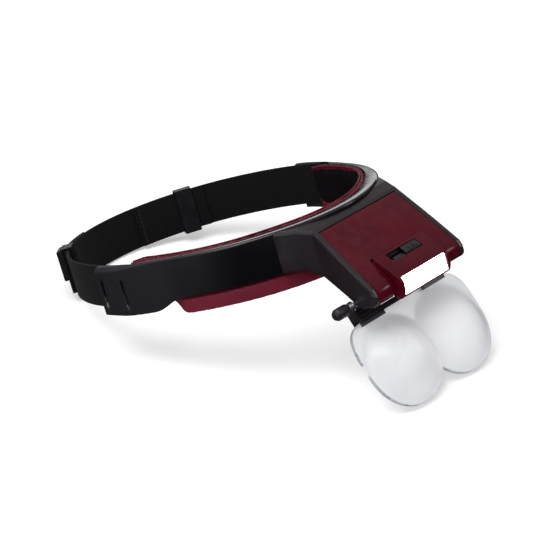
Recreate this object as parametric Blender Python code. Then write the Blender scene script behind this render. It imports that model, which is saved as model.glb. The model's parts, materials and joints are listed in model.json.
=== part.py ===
"""Head visor magnifier: headband, pad, rear strap, hood, LED lamp and a swinging twin-lobe lens."""

import math

import bmesh
import bpy
from mathutils import Matrix, Vector

MM = 0.001
GAP = 0.3                      # clearance between pieces that touch

# Headband ring: two half ellipses that meet at the wearer's temples. Front is -Y, top edge is z = 0.
RING_FRONT = 103.0
RING_REAR = 97.0
RING_HALF_WIDTH = 86.0
RING_STEP = 4.0                # degrees between sweep stations

# Brow band: an outer wall with a flange along its top, ending in two thicker slotted arms.
BAND_HEIGHT = 23.8
BAND_WALL = 2.4
FLANGE_WIDTH = 8.4
FLANGE_SIDE_WIDTH = 3.6
FLANGE_THICK = 2.0
ARM_START = 70.0
ARM_END = 98.0
ARM_HEIGHT = 29.4
ARM_FLARE = 6.4
ARM_INNER = 1.3
ARM_SLANT = 2.4                # sloping face along the arm's upper outer edge
ARM_SLOTS = (87.5, 95.5)
SLOT_TOP = -8.0
SLOT_BOTTOM = -23.0
SLOT_WIDTH = 1.8

# Forehead pad.
PAD_END = 87.0
PAD_TOP = 0.8
PAD_BOTTOM = -34.3
PAD_FRONT_THICK = 12.8
PAD_SIDE_THICK = 9.0
PAD_SKIRT_END = 73.0
PAD_END_BOTTOM = -26.8

# Rear strap and its two sliders.
STRAP_THICK = 1.8
STRAP_TOP = -0.4
STRAP_HEIGHT = 24.8
STRAP_START = 88.5
STRAP_TUCK = 3.0               # degrees the strap reaches under the arms
TAIL_THICK = 1.4
TAIL_GAP = 0.35
SLIDER_AT = 144.3
TAIL_SPAN = 22.0
SLIDER_LENGTH = 11.5
SLIDER_WALL = 1.2
SLIDER_OVERHANG = 1.4
BRIDGE_TOP = 0.2
BRIDGE_HEIGHT = 18.5
BRIDGE_PROUD = 2.6

# Hood: a box that slopes forward and down from the front of the ring.
SLOPE = math.radians(45.8)
SLOPE_ORIGIN = (-106.4, -7.1)  # y, z of the rear edge of the cover
HOOD_STATIONS = (              # y, top z, bottom z, half width
    (-140.8, -42.0, -45.0, 40.6),
    (-139.2, -38.0, -47.6, 40.6),
    (-128.2, -26.6, -48.8, 39.9),
    (-120.2, -18.4, -41.4, 39.2),
    (-105.8, -3.6, -30.2, 37.5),
    (-97.0, -1.2, -24.6, 41.5),
    (-86.0, -0.1, -23.9, 48.0),
)
FRAME_RISE = 2.5               # height of the frame's edge over the slope's reference line
COVER_HALF_REAR = 33.4
COVER_HALF_FRONT = 36.6
COVER_LENGTH = 41.5
COVER_THICK = 1.8
COVER_SEAT = 0.6               # how far the cover's top lies under the frame's edge
SCREW_CLEARANCE = 1.7
SCREW_PILOT = 1.45

# Rounded burgundy noses at the front of the cover's cheeks, as (y, z).
NOSE_PROFILE = ((-133.6, -32.9), (-137.2, -35.9), (-139.6, -38.4), (-140.8, -41.0), (-140.9, -43.6),
                (-140.0, -45.6), (-138.0, -46.0), (-138.0, -39.6), (-134.6, -36.2))

# Batteries, two AAA cells side by side across the hood.
CELL_RADIUS = 5.25
CELL_LENGTH = 42.5
CELL_DEPTH = -7.5
CELL_ROWS = (13.5, 24.8)
BAY_HALF = 26.0
CONTACT_SPAN = (24.9, 25.7)

# Lamp pod between the cheeks at the front.
LAMP_HALF = 21.7
LAMP_GAP = 22.2
LAMP_PIVOT = (-134.0, -40.0)
LAMP_WALL = 1.6
LAMP_PIN_RADIUS = 1.2
LAMP_PIN_HOLE = 1.35
MOUTH_HALF = LAMP_HALF - 2.4   # half width of the window's opening
LAMP_PROFILE = ((-129.4, -25.6), (-140.6, -34.6), (-143.6, -37.8), (-144.9, -41.5),
                (-144.6, -45.5), (-143.0, -49.3), (-139.5, -49.6), (-131.0, -41.2),
                (-126.9, -33.6), (-129.3, -29.9))
WINDOW_TOP = -38.2
WINDOW_BOTTOM = -48.4
LED_X = 10.5
LED_RADIUS = 2.5
LED_BASE = (-136.4, -40.9)
BOARD = ((-135.9, -37.0), (-135.9, -42.6), (-135.1, -42.6), (-135.1, -37.0))

# Slide switch on the pod.
SWITCH_CENTRE = (-133.7, -29.06)
SWITCH_SLOT = (26.0, 6.4, 1.7)
SWITCH_KNOB = (13.0, 5.2, 3.0)
SWITCH_BODY = (-135.3, -30.35)
SWITCH_BODY_SIZE = (17.0, 5.0)

# Lens hinge, holder and plate.
HINGE = (-124.5, -45.5)
SHAFT_RADIUS = 1.5
KNUCKLE_RADIUS = 3.8
KNUCKLE_SPAN = (23.0, 36.0)
HOLDER_HALF = 37.0
LENS_TILT = math.radians(23.0)
LENS_TOP = (-118.6, -58.2)     # y, z of the plate's top edge at its rear face
LENS_HALF_SPACING = 22.8
LOBE_HALF = 27.6
LOBE_HEIGHT = 55.5
LENS_EDGE = 3.0
LENS_BULGE = 14.0
DOME_CENTRE = 30.5
DOME_HEIGHT = 50.5
WEB_HALF = 14.0                # web that fills the notch between the lobes' tops
WEB_HEIGHT = 8.0
TONGUE_START = 20.0
TONGUE_HALF = 34.0
TONGUE_RISE = 4.0
CLIP_FRONT = 5.0
CLIP_REAR = -2.0
CLIP_START = 17.5
RIDGES = 5
KNOB_START = 46.0
KNOB_END = 57.0
KNOB_RADIUS = 3.4
SHAFT_LENGTH = 95.4
NUT_AT = 42.3
NUT_RADIUS = 3.0

COLOURS = {                    # base colour, roughness, metallic
    "gloss_black": ((0.008, 0.007, 0.009), 0.12, 0.0),
    "satin_black": ((0.020, 0.019, 0.022), 0.45, 0.0),
    "burgundy": ((0.11, 0.012, 0.022), 0.25, 0.0),
    "pad_burgundy": ((0.22, 0.016, 0.045), 0.60, 0.0),
    "webbing": ((0.012, 0.011, 0.013), 0.85, 0.0),
    "steel": ((0.60, 0.60, 0.62), 0.25, 1.0),
    "nickel": ((0.72, 0.70, 0.66), 0.30, 1.0),
    "chrome": ((0.90, 0.90, 0.92), 0.06, 1.0),
    "led": ((0.95, 0.96, 1.0), 0.20, 0.0),
    "clear": ((0.92, 0.94, 0.97), 0.04, 0.0),
    "cell": ((0.10, 0.10, 0.11), 0.35, 0.0),
    "board": ((0.02, 0.16, 0.06), 0.50, 0.0),
}

for old in list(bpy.data.objects):
    bpy.data.objects.remove(old, do_unlink=True)

ROOT = bpy.data.objects.new("resting_frame", None)
bpy.context.scene.collection.objects.link(ROOT)


# ---------------------------------------------------------------- geometry helpers

def material(name):
    """One Principled material for a named finish, made once."""
    found = bpy.data.materials.get(name)
    if found:
        return found
    colour, roughness, metallic = COLOURS[name]
    made = bpy.data.materials.new(name)
    made.use_nodes = True
    shader = made.node_tree.nodes["Principled BSDF"]
    shader.inputs["Base Color"].default_value = (*colour, 1.0)
    shader.inputs["Roughness"].default_value = roughness
    shader.inputs["Metallic"].default_value = metallic
    return made


def make_object(name, verts, faces, finish, pivot=(0.0, 0.0, 0.0)):
    """A mesh object from millimetre points, with its origin at the pivot."""
    pivot = Vector(pivot)
    mesh = bpy.data.meshes.new(name)
    points = [(Vector(v) - pivot) * MM for v in verts]
    mesh.from_pydata(points, [], faces)
    mesh.materials.append(material(finish))
    tidy = bmesh.new()
    tidy.from_mesh(mesh)
    bmesh.ops.recalc_face_normals(tidy, faces=tidy.faces)
    tidy.to_mesh(mesh)
    tidy.free()
    made = bpy.data.objects.new(name, mesh)
    bpy.context.scene.collection.objects.link(made)
    made.parent = ROOT
    made.location = pivot * MM
    return made


def smooth(target, angle=35.0):
    """Shade smooth, keeping edges sharper than the angle crisp."""
    target.data.shade_smooth()
    target.data.set_sharp_from_angle(angle=math.radians(angle))
    return target


def bevel(target, width, segments=2, angle=30.0):
    """Round the object's sharp edges."""
    rounding = target.modifiers.new("bevel", "BEVEL")
    rounding.width = width * MM
    rounding.segments = segments
    rounding.limit_method = "ANGLE"
    rounding.angle_limit = math.radians(angle)
    return target


def cut(target, *cutters):
    """Subtract cutters, which stay in the file as hidden guides."""
    for cutter in cutters:
        removal = target.modifiers.new("cut", "BOOLEAN")
        removal.operation = "DIFFERENCE"
        removal.solver = "EXACT"
        removal.object = cutter
        cutter.hide_render = True
        cutter.display_type = "WIRE"
    return target


def join(target, *pieces):
    """Unite pieces into the target with Booleans."""
    for piece in pieces:
        union = target.modifiers.new("join", "BOOLEAN")
        union.operation = "UNION"
        union.solver = "EXACT"
        union.object = piece
        piece.hide_render = True
        piece.display_type = "WIRE"
    return target


def ring_point(degrees, offset=0.0):
    """A point on the headband ring, moved outward by the offset. 0 is the brow, + is the wearer's left."""
    turn = math.radians(degrees)
    depth = RING_FRONT if math.cos(turn) > 0 else RING_REAR
    normal = Vector((depth * math.sin(turn), -RING_HALF_WIDTH * math.cos(turn))).normalized()
    x = RING_HALF_WIDTH * math.sin(turn) + offset * normal.x
    y = -depth * math.cos(turn) + offset * normal.y
    return x, y


def ring_normal(degrees):
    """The ring's outward direction."""
    inner = ring_point(degrees)
    outer = ring_point(degrees, 1.0)
    return Vector((outer[0] - inner[0], outer[1] - inner[1], 0.0))


def ramp(value, start, end, low, high):
    """Smooth change from low to high as value goes from start to end."""
    share = min(1.0, max(0.0, (value - start) / (end - start)))
    share = share * share * (3.0 - 2.0 * share)
    return low + (high - low) * share


def sweep(name, start, end, section, finish, step=RING_STEP, pivot=(0.0, 0.0, 0.0)):
    """Sweep a closed section, given as (offset, z) points, along the ring from start to end."""
    count = max(2, round(abs(end - start) / step))
    verts = []
    for i in range(count + 1):
        degrees = start + (end - start) * i / count
        for offset, z in section(degrees):
            x, y = ring_point(degrees, offset)
            verts.append((x, y, z))
    size = len(verts) // (count + 1)
    faces = [tuple(range(size)), tuple(range(count * size, (count + 1) * size))]
    for i in range(count):
        for j in range(size):
            k = (j + 1) % size
            faces.append((i * size + j, i * size + k, (i + 1) * size + k, (i + 1) * size + j))
    return make_object(name, verts, faces, finish, pivot)


def prism(name, outline, x_low, x_high, finish="satin_black", pivot=(0.0, 0.0, 0.0)):
    """Extrude a (y, z) outline along X."""
    count = len(outline)
    verts = [(x_low, y, z) for y, z in outline] + [(x_high, y, z) for y, z in outline]
    faces = [tuple(range(count)), tuple(range(count, 2 * count))]
    faces += [(i, (i + 1) % count, count + (i + 1) % count, count + i) for i in range(count)]
    return make_object(name, verts, faces, finish, pivot)


def turned(name, base, axis, profile, finish, sides=24, pivot=(0.0, 0.0, 0.0)):
    """Turn a profile of (distance along the axis, radius) points, closed by flat ends."""
    axis = Vector(axis).normalized()
    side = axis.orthogonal().normalized()
    up = axis.cross(side)
    verts = []
    for along, radius in profile:
        centre = Vector(base) + axis * along
        for i in range(sides):
            turn = math.tau * i / sides
            verts.append(centre + (side * math.cos(turn) + up * math.sin(turn)) * radius)
    last = (len(profile) - 1) * sides
    faces = [tuple(range(sides)), tuple(range(last, last + sides))]
    for ring in range(len(profile) - 1):
        for i in range(sides):
            j = (i + 1) % sides
            low = ring * sides
            faces.append((low + i, low + j, low + sides + j, low + sides + i))
    return smooth(make_object(name, verts, faces, finish, pivot))


def on_slope(along, rise):
    """The (y, z) of a point in the hood's own sloping frame."""
    y, z = SLOPE_ORIGIN
    y += -math.cos(SLOPE) * along - math.sin(SLOPE) * rise
    z += -math.sin(SLOPE) * along + math.cos(SLOPE) * rise
    return y, z


def slope_box(name, along, rise, x_low, x_high, finish="satin_black"):
    """A box whose sides follow the hood's slope; along and rise are (low, high) pairs."""
    outline = [on_slope(along[0], rise[0]), on_slope(along[1], rise[0]),
               on_slope(along[1], rise[1]), on_slope(along[0], rise[1])]
    return prism(name, outline, x_low, x_high, finish)


def disc(centre, radius, sides=20, start=0.0, end=math.tau):
    """Points around a circle in the (y, z) plane."""
    full = abs(end - start) >= math.tau
    count = sides if full else sides + 1
    return [(centre[0] + radius * math.cos(start + (end - start) * i / sides),
             centre[1] + radius * math.sin(start + (end - start) * i / sides)) for i in range(count)]


# ---------------------------------------------------------------- headband

def flange_edge(side):
    """Offset of the flange's inner edge, which narrows towards the arms."""
    return -ramp(side, 30.0, 66.0, FLANGE_WIDTH, FLANGE_SIDE_WIDTH)


def band_section(degrees):
    """Section of the brow band: wall, top flange, and the arm's extra height and flare."""
    side = abs(degrees)
    outer = ramp(side, ARM_START, ARM_END, 0.0, ARM_FLARE)
    inner = ramp(side, 77.0, 83.5, -BAND_WALL, ARM_INNER)
    flange = ramp(side, 76.0, 83.5, flange_edge(side), inner - 0.2)
    height = ramp(side, ARM_START - 1.0, 79.0, BAND_HEIGHT, ARM_HEIGHT)
    height -= ramp(side, 86.0, ARM_END, 0.0, 1.4)
    slant = ramp(side, 74.0, 90.0, 0.8, ARM_SLANT)
    return [(outer, -slant), (outer - slant, 0.0), (flange, 0.0), (flange, -FLANGE_THICK),
            (inner, -FLANGE_THICK - 0.01), (inner, -height), (outer - 0.8, -height), (outer, -height + 0.8)]


def make_slot(name, degrees):
    """A block through the arm's wall, square to the ring."""
    middle = Vector((*ring_point(degrees), 0.0))
    normal = ring_normal(degrees)
    along = Vector((-normal.y, normal.x, 0.0))
    half = SLOT_WIDTH / 2.0
    verts = []
    for z in (SLOT_BOTTOM, SLOT_TOP):
        for out, side in ((0.2, -half), (12.0, -half), (12.0, half), (0.2, half)):
            verts.append(middle + normal * out + along * side + Vector((0.0, 0.0, z)))
    faces = [(0, 1, 2, 3), (4, 5, 6, 7), (0, 1, 5, 4), (1, 2, 6, 5), (2, 3, 7, 6), (3, 0, 4, 7)]
    return make_object(name, verts, faces, "satin_black")


def screw_place(side):
    """Where a hood screw passes through the band's wall, and its outward direction."""
    degrees = side * 21.8
    x, y = ring_point(degrees, -BAND_WALL)
    return Vector((x, y, -14.0)), ring_normal(degrees)


def make_band():
    """The one-piece brow band with its slotted arms."""
    band = sweep("brow_band", -ARM_END, ARM_END, band_section, "gloss_black")
    for side in (-1, 1):
        for degrees in ARM_SLOTS:
            cut(band, make_slot(f"arm_slot_{side}_{degrees}", side * degrees))
        place, normal = screw_place(side)
        wall = [(0, SCREW_CLEARANCE), (8, SCREW_CLEARANCE)]
        hole = turned(f"band_hole_{side}", place - normal * 2.0, normal, wall, "steel", 16)
        cut(band, hole)
    return smooth(band, 30.0)


def pad_section(degrees):
    """Section of the pad: a body inside the wall, a roll above the flange, a skirt below the band."""
    side = abs(degrees)
    end = ramp(side, 80.0, PAD_END, 0.0, 1.0)
    back = -BAND_WALL - 1.8
    top = PAD_TOP - 1.5 * end
    bottom = ramp(side, PAD_SKIRT_END - 4.0, PAD_SKIRT_END + 1.0, PAD_BOTTOM, PAD_END_BOTTOM)
    inner = -ramp(side, 25.0, 62.0, PAD_FRONT_THICK, PAD_SIDE_THICK) + 1.2 * end
    skirt = ramp(side, PAD_SKIRT_END - 5.0, PAD_SKIRT_END, -0.6, back + 0.3)
    under = -BAND_HEIGHT - 0.5
    roll = flange_edge(side) - GAP - 0.1
    return [(back, -FLANGE_THICK - 0.5), (roll, -FLANGE_THICK - 0.5), (roll, top - 0.8),
            (roll - 0.8, top), (inner + 1.4, top), (inner, top - 1.4), (inner, bottom + 1.8),
            (inner + 1.8, bottom), (skirt - 1.8, bottom), (skirt, bottom + 1.8), (skirt - 0.2, under),
            (back, under)]


def make_pad():
    """The cushioned forehead pad."""
    pad = sweep("forehead_pad", -PAD_END, PAD_END, pad_section, "pad_burgundy")
    return smooth(pad, 50.0)


def strap_section(outer, inner, top=STRAP_TOP, height=STRAP_HEIGHT):
    """Section of a webbing band."""
    return lambda degrees: [(outer, top), (inner, top), (inner, top - height), (outer, top - height)]


def make_strap():
    """The rear strap, with a stitched end tab through the front slot of each arm."""
    half = STRAP_THICK / 2.0
    start = STRAP_START - STRAP_TUCK
    strap = sweep("rear_strap", start, 360.0 - start, strap_section(half, -half), "webbing")
    for side in (-1, 1):
        degrees = side * ARM_SLOTS[0]
        middle = Vector((*ring_point(degrees), 0.0))
        normal = ring_normal(degrees)
        along = Vector((-normal.y, normal.x, 0.0))
        verts = []
        for z in (SLOT_BOTTOM + 0.5, SLOT_TOP - 0.5):
            for out, shift in ((-0.5, -0.55), (3.6, -0.55), (3.6, 0.55), (-0.5, 0.55)):
                verts.append(middle + normal * out + along * shift + Vector((0.0, 0.0, z)))
        faces = [(0, 1, 2, 3), (4, 5, 6, 7), (0, 1, 5, 4), (1, 2, 6, 5), (2, 3, 7, 6), (3, 0, 4, 7)]
        join(strap, make_object(f"strap_tab_{side}", verts, faces, "webbing"))
    return strap


def make_tails():
    """The free ends of the webbing: inside the strap on the left, outside it on the right."""
    near = STRAP_THICK / 2.0 + TAIL_GAP
    far = near + TAIL_THICK
    sweep("strap_tail_left", SLIDER_AT - 8.0, SLIDER_AT + TAIL_SPAN,
          strap_section(-near, -far, STRAP_TOP + 0.1), "webbing")
    sweep("strap_tail_right", -SLIDER_AT + 4.0, -SLIDER_AT - TAIL_SPAN,
          strap_section(far, near, STRAP_TOP + 0.1), "webbing")


def curvature_centre(degrees):
    """Centre of the circle that best follows the ring at this place."""
    step = 3.0
    a, b, c = (Vector(ring_point(degrees + shift)) for shift in (-step, 0.0, step))
    d = 2.0 * (a.x * (b.y - c.y) + b.x * (c.y - a.y) + c.x * (a.y - b.y))
    aa, bb, cc = a.length_squared, b.length_squared, c.length_squared
    x = (aa * (b.y - c.y) + bb * (c.y - a.y) + cc * (a.y - b.y)) / d
    y = (aa * (c.x - b.x) + bb * (a.x - c.x) + cc * (b.x - a.x)) / d
    return x, y


def slider_section(outer, inner):
    """Outside section of a slider: a sleeve with a raised grip on its outer side."""
    wall = outer + SLIDER_WALL
    top = STRAP_TOP + SLIDER_OVERHANG
    bottom = STRAP_TOP - STRAP_HEIGHT - SLIDER_OVERHANG
    grip = wall + BRIDGE_PROUD
    grip_bottom = BRIDGE_TOP - BRIDGE_HEIGHT
    back = inner - SLIDER_WALL
    return lambda degrees: [(wall, top), (back, top), (back, bottom), (wall, bottom),
                            (wall, grip_bottom), (grip - 0.6, grip_bottom), (grip, grip_bottom + 0.6),
                            (grip, BRIDGE_TOP - 0.6), (grip - 0.6, BRIDGE_TOP), (wall, BRIDGE_TOP)]


def make_slider(name, degrees, outer, inner):
    """A moulded keeper around the strap, which follows the ring."""
    pivot = (*curvature_centre(degrees), STRAP_TOP - STRAP_HEIGHT / 2.0)
    spread = math.degrees(SLIDER_LENGTH / 2.0 / RING_REAR)
    low, high = degrees - spread, degrees + spread
    hollow = strap_section(outer, inner, STRAP_TOP + 0.5, STRAP_HEIGHT + 1.0)
    body = sweep(name, low, high, slider_section(outer, inner), "satin_black", step=2.0, pivot=pivot)
    cut(body, sweep(name + "_hollow", low - 2.0, high + 2.0, hollow, "satin_black", step=2.0))
    return bevel(body, 0.35, 1, 50.0)


def make_sliders():
    """Each slider closes around the strap and the free end on its side."""
    thin = STRAP_THICK / 2.0 + 0.5
    thick = STRAP_THICK / 2.0 + TAIL_GAP + TAIL_THICK + 0.5
    make_slider("strap_slider_left", SLIDER_AT, thin, -thick)
    make_slider("strap_slider_right", -SLIDER_AT, thick, -thin)


# ---------------------------------------------------------------- hood

def cover_half(along):
    """Half width of the cover at a distance along the slope."""
    return COVER_HALF_REAR + (COVER_HALF_FRONT - COVER_HALF_REAR) * along / COVER_LENGTH


def slope_wedge(name, along, rise, margin, finish="burgundy"):
    """A plate on the slope whose width follows the cover's flare."""
    verts = []
    for height in rise:
        for distance in along:
            y, z = on_slope(distance, height)
            half = cover_half(distance) + margin
            verts += [(-half, y, z), (half, y, z)]
    faces = [(0, 1, 3, 2), (4, 5, 7, 6), (0, 1, 5, 4), (2, 3, 7, 6), (0, 2, 6, 4), (1, 3, 7, 5)]
    return make_object(name, verts, faces, finish)


def make_hood_body():
    """The outer form of the hood, lofted through its stations."""
    verts = []
    for y, top, bottom, half in HOOD_STATIONS:
        verts += [(-half, y, bottom), (half, y, bottom), (half, y, top), (-half, y, top)]
    last = 4 * (len(HOOD_STATIONS) - 1)
    faces = [(0, 1, 2, 3), (last, last + 1, last + 2, last + 3)]
    for i in range(len(HOOD_STATIONS) - 1):
        for j in range(4):
            k = (j + 1) % 4
            faces.append((4 * i + j, 4 * i + k, 4 * i + 4 + k, 4 * i + 4 + j))
    return make_object("hood_frame", verts, faces, "gloss_black")


def shaft_bore(name, start, length):
    """Cutter for a running hole around the hinge shaft."""
    wall = [(0, SHAFT_RADIUS + GAP), (length, SHAFT_RADIUS + GAP)]
    return turned(name, (start, *HINGE), (1, 0, 0), wall, "steel", 20)


def make_hood():
    """Black frame with the battery bay, the lamp gap, the lens hinge cheeks and the cover's seat."""
    hood = bevel(make_hood_body(), 1.4, 2, 40.0)
    verts = []
    for z in (8.0, -60.0):
        for i in range(-60, 64, 4):
            verts.append((*ring_point(i, GAP), z))
        verts.append((60.0, -20.0, z))
        verts.append((-60.0, -20.0, z))
    size = len(verts) // 2
    faces = [tuple(range(size)), tuple(range(size, 2 * size))]
    faces += [(i, (i + 1) % size, size + (i + 1) % size, size + i) for i in range(size)]
    ring_cut = make_object("ring_cut", verts, faces, "steel")
    seat_top = FRAME_RISE - COVER_SEAT
    seat_rise = (seat_top - COVER_THICK - GAP, 12.0)
    seat = slope_wedge("cover_seat_cut", (-0.6, COVER_LENGTH + 12.0), seat_rise, GAP)
    bay_outline = [on_slope(1.0, 4.0), on_slope(1.0, -2.6), on_slope(11.3, -13.0), on_slope(30.6, -13.0),
                   on_slope(30.6, 4.0)]
    bay = prism("bay_cut", bay_outline, -BAY_HALF, BAY_HALF)
    lamp_gap = slope_box("lamp_gap_cut", (31.9, 60.0), (-40.0, 12.0), -LAMP_GAP, LAMP_GAP)
    knuckle = prism("knuckle_cut", [(HINGE[0] + 5.2, HINGE[1] - 20.0), (HINGE[0] + 5.2, HINGE[1])]
                    + disc(HINGE, 5.2, 10, 0.0, math.pi) + [(HINGE[0] - 12.0, HINGE[1]),
                    (HINGE[0] - 12.0, HINGE[1] - 20.0)], -KNUCKLE_SPAN[1] - 0.5, KNUCKLE_SPAN[1] + 0.5)
    shaft = shaft_bore("shaft_hole_cut", -60.0, 120.0)
    pin_wall = [(0, LAMP_PIN_HOLE), (55.2, LAMP_PIN_HOLE)]
    pins = turned("pin_hole_cut", (-27.6, *LAMP_PIVOT), (1, 0, 0), pin_wall, "steel", 16)
    nose_outline = [(-160.0, -20.0), (-160.0, -60.0), (-137.6, -60.0), (-137.6, -39.6), (-134.4, -36.6),
                    (-130.0, -20.0)]
    nose = prism("nose_cut", nose_outline, -COVER_HALF_FRONT - GAP, COVER_HALF_FRONT + GAP)
    cut(hood, ring_cut, seat, bay, lamp_gap, knuckle, shaft, pins, nose)
    for side in (-1, 1):
        place, normal = screw_place(side)
        pilot = [(0, SCREW_PILOT), (12.5, SCREW_PILOT)]
        cut(hood, turned(f"hood_hole_{side}", place, normal, pilot, "steel", 16))
    return smooth(hood, 30.0)


def make_cover():
    """Burgundy battery cover with two cheeks that reach past the lamp pod."""
    seat_top = FRAME_RISE - COVER_SEAT
    cover = slope_wedge("battery_cover", (0.0, COVER_LENGTH), (seat_top - COVER_THICK, seat_top), 0.0)
    for side in (-1, 1):
        low, high = sorted((side * (LAMP_GAP + 0.1), side * (COVER_HALF_FRONT - 0.3)))
        join(cover, prism(f"nose_{side}", NOSE_PROFILE, low, high, "burgundy"))
    cut(cover, slope_box("cover_lamp_cut", (28.8, 60.0), (-10.0, 12.0), -LAMP_GAP - 0.1, LAMP_GAP + 0.1))
    bevel(cover, 0.5, 2, 40.0)
    return smooth(cover)


def make_cells():
    """Two cells, their springs and their contact plates."""
    for row, along in enumerate(CELL_ROWS):
        name = ("rear", "front")[row]
        y, z = on_slope(along, CELL_DEPTH)
        way = 1 if row == 0 else -1
        start = (-way * (CELL_LENGTH / 2.0 - 1.2), y, z)
        shape = [(0, 4.2), (0.3, 5.05), (1.2, CELL_RADIUS), (CELL_LENGTH - 2.6, CELL_RADIUS),
                 (CELL_LENGTH - 1.8, 4.9), (CELL_LENGTH - 1.6, 1.9), (CELL_LENGTH - 0.6, 1.7)]
        turned(f"battery_{name}", start, (way, 0, 0), shape, "cell", 24)
        make_spring(f"battery_spring_{name}", start, -way)


def make_spring(name, start, way):
    """A conical contact spring between a cell's flat end and its plate."""
    wire, turns, per_turn, sides = 0.28, 2.5, 14, 6
    base = Vector(start) + Vector((way * (wire + 0.3), 0.0, 0.0))
    length = 2.45
    verts = []
    count = int(turns * per_turn)
    for i in range(count + 1):
        share = i / count
        turn = math.tau * turns * share
        radius = 2.2 + 1.6 * share
        outward = Vector((0.0, math.cos(turn), math.sin(turn)))
        centre = base + Vector((way * length * share, 0.0, 0.0)) + outward * radius
        for j in range(sides):
            angle = math.tau * j / sides
            shift = Vector((wire * math.sin(angle), 0.0, 0.0))
            verts.append(centre + outward * wire * math.cos(angle) + shift)
    faces = [tuple(range(sides)), tuple(range(count * sides, (count + 1) * sides))]
    for i in range(count):
        for j in range(sides):
            k = (j + 1) % sides
            faces.append((i * sides + j, i * sides + k, (i + 1) * sides + k, (i + 1) * sides + j))
    return smooth(make_object(name, verts, faces, "nickel"), 60.0)


def make_contacts():
    """Contact plates at both ends of the battery bay."""
    for side, name in ((-1, "right"), (1, "left")):
        low, high = sorted((side * CONTACT_SPAN[0], side * CONTACT_SPAN[1]))
        slope_box(f"contact_plate_{name}", (9.2, 29.6), (-11.0, -1.0), low, high, "nickel")


def make_hood_screws():
    """Screws that hold the hood frame to the brow band, with their heads under the pad."""
    for side, name in ((-1, "right"), (1, "left")):
        place, normal = screw_place(side)
        shape = [(-1.7, 2.0), (-1.4, 2.7), (-0.3, 2.7), (-0.29, 1.15), (9.8, 1.15), (11.0, 0.4)]
        turned(f"hood_screw_{name}", place, normal, shape, "steel", 16)


# ---------------------------------------------------------------- lamp

def pod_frame():
    """Along and normal directions of the pod's top face, as (y, z) pairs."""
    a, b = LAMP_PROFILE[0], LAMP_PROFILE[1]
    length = math.hypot(b[0] - a[0], b[1] - a[1])
    along = ((b[0] - a[0]) / length, (b[1] - a[1]) / length)
    return along, (along[1], -along[0])


def pod_box(name, centre, width, depth, rise, finish="satin_black", shift=0.0, pivot=(0.0, 0.0, 0.0)):
    """A box square to the pod's top face; rise is a (low, high) pair from that face."""
    along, normal = pod_frame()
    outline = []
    for a, n in ((-0.5, 0), (0.5, 0), (0.5, 1), (-0.5, 1)):
        outline.append((centre[0] + along[0] * depth * a + normal[0] * rise[n],
                        centre[1] + along[1] * depth * a + normal[1] * rise[n]))
    return prism(name, outline, shift - width / 2.0, shift + width / 2.0, finish, pivot)


def inset(outline, distance):
    """Move a convex (y, z) outline inward."""
    count = len(outline)
    middle = (sum(p[0] for p in outline) / count, sum(p[1] for p in outline) / count)
    moved = []
    for i in range(count):
        before, here, after = outline[i - 1], outline[i], outline[(i + 1) % count]
        one = Vector((here[0] - before[0], here[1] - before[1])).normalized()
        two = Vector((after[0] - here[0], after[1] - here[1])).normalized()
        normal = Vector((-(one.y + two.y), one.x + two.x)).normalized()
        if normal.dot(Vector((middle[0] - here[0], middle[1] - here[1]))) < 0:
            normal = -normal
        spread = max(0.5, math.sqrt((1.0 + one.dot(two)) / 2.0))
        moved.append((here[0] + normal.x * distance / spread, here[1] + normal.y * distance / spread))
    return moved


def make_lamp():
    """Burgundy pod with its window, reflector, LEDs, board and pivot pins."""
    pivot = (0.0, *LAMP_PIVOT)
    pod = bevel(prism("lamp_shell", LAMP_PROFILE, -LAMP_HALF, LAMP_HALF, "burgundy", pivot), 0.6, 2, 40.0)
    room = LAMP_HALF - LAMP_WALL
    hollow = prism("pod_hollow_cut", inset(LAMP_PROFILE, LAMP_WALL), -room, room)
    mouth_outline = [(-150.0, WINDOW_TOP), (-150.0, WINDOW_BOTTOM), (-141.5, WINDOW_BOTTOM),
                     (-141.5, WINDOW_TOP)]
    mouth = prism("pod_mouth_cut", mouth_outline, -MOUTH_HALF, MOUTH_HALF)
    slot = pod_box("switch_slot_cut", SWITCH_CENTRE, SWITCH_SLOT[0], SWITCH_SLOT[1], (-1.1, 3.0))
    stem = pod_box("switch_stem_cut", SWITCH_CENTRE, 13.0, 2.6, (-6.0, 3.0))
    pin_wall = [(0, LAMP_PIN_HOLE), (60, LAMP_PIN_HOLE)]
    holes = turned("pod_pin_cut", (-30.0, *LAMP_PIVOT), (1, 0, 0), pin_wall, "steel", 16)
    cut(pod, hollow, mouth, slot, stem, holes)
    smooth(pod, 30.0)
    face = -142.2
    top, bottom = WINDOW_TOP - 0.35, WINDOW_BOTTOM + 0.35
    window = [(-144.2, top), (-144.2, bottom), (face, bottom), (face, top)]
    prism("lamp_window", window, -MOUTH_HALF + 0.35, MOUTH_HALF - 0.35, "clear", pivot)
    make_reflector(face, pivot)
    prism("circuit_board", BOARD, -MOUTH_HALF, MOUTH_HALF, "board", pivot)
    pin = [(0, LAMP_PIN_RADIUS), (6.4, LAMP_PIN_RADIUS)]
    for side, name in ((-1, "right"), (1, "left")):
        turned(f"lamp_pin_{name}", (side * 20.4, *LAMP_PIVOT), (side, 0, 0), pin, "steel", 16, pivot)
        led = [(0, 2.2), (0.6, LED_RADIUS), (2.4, LED_RADIUS), (3.8, 1.9), (4.3, 0.8)]
        turned(f"led_{name}", (side * LED_X, *LED_BASE), (0, -1, 0), led, "led", 20, pivot)


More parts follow.
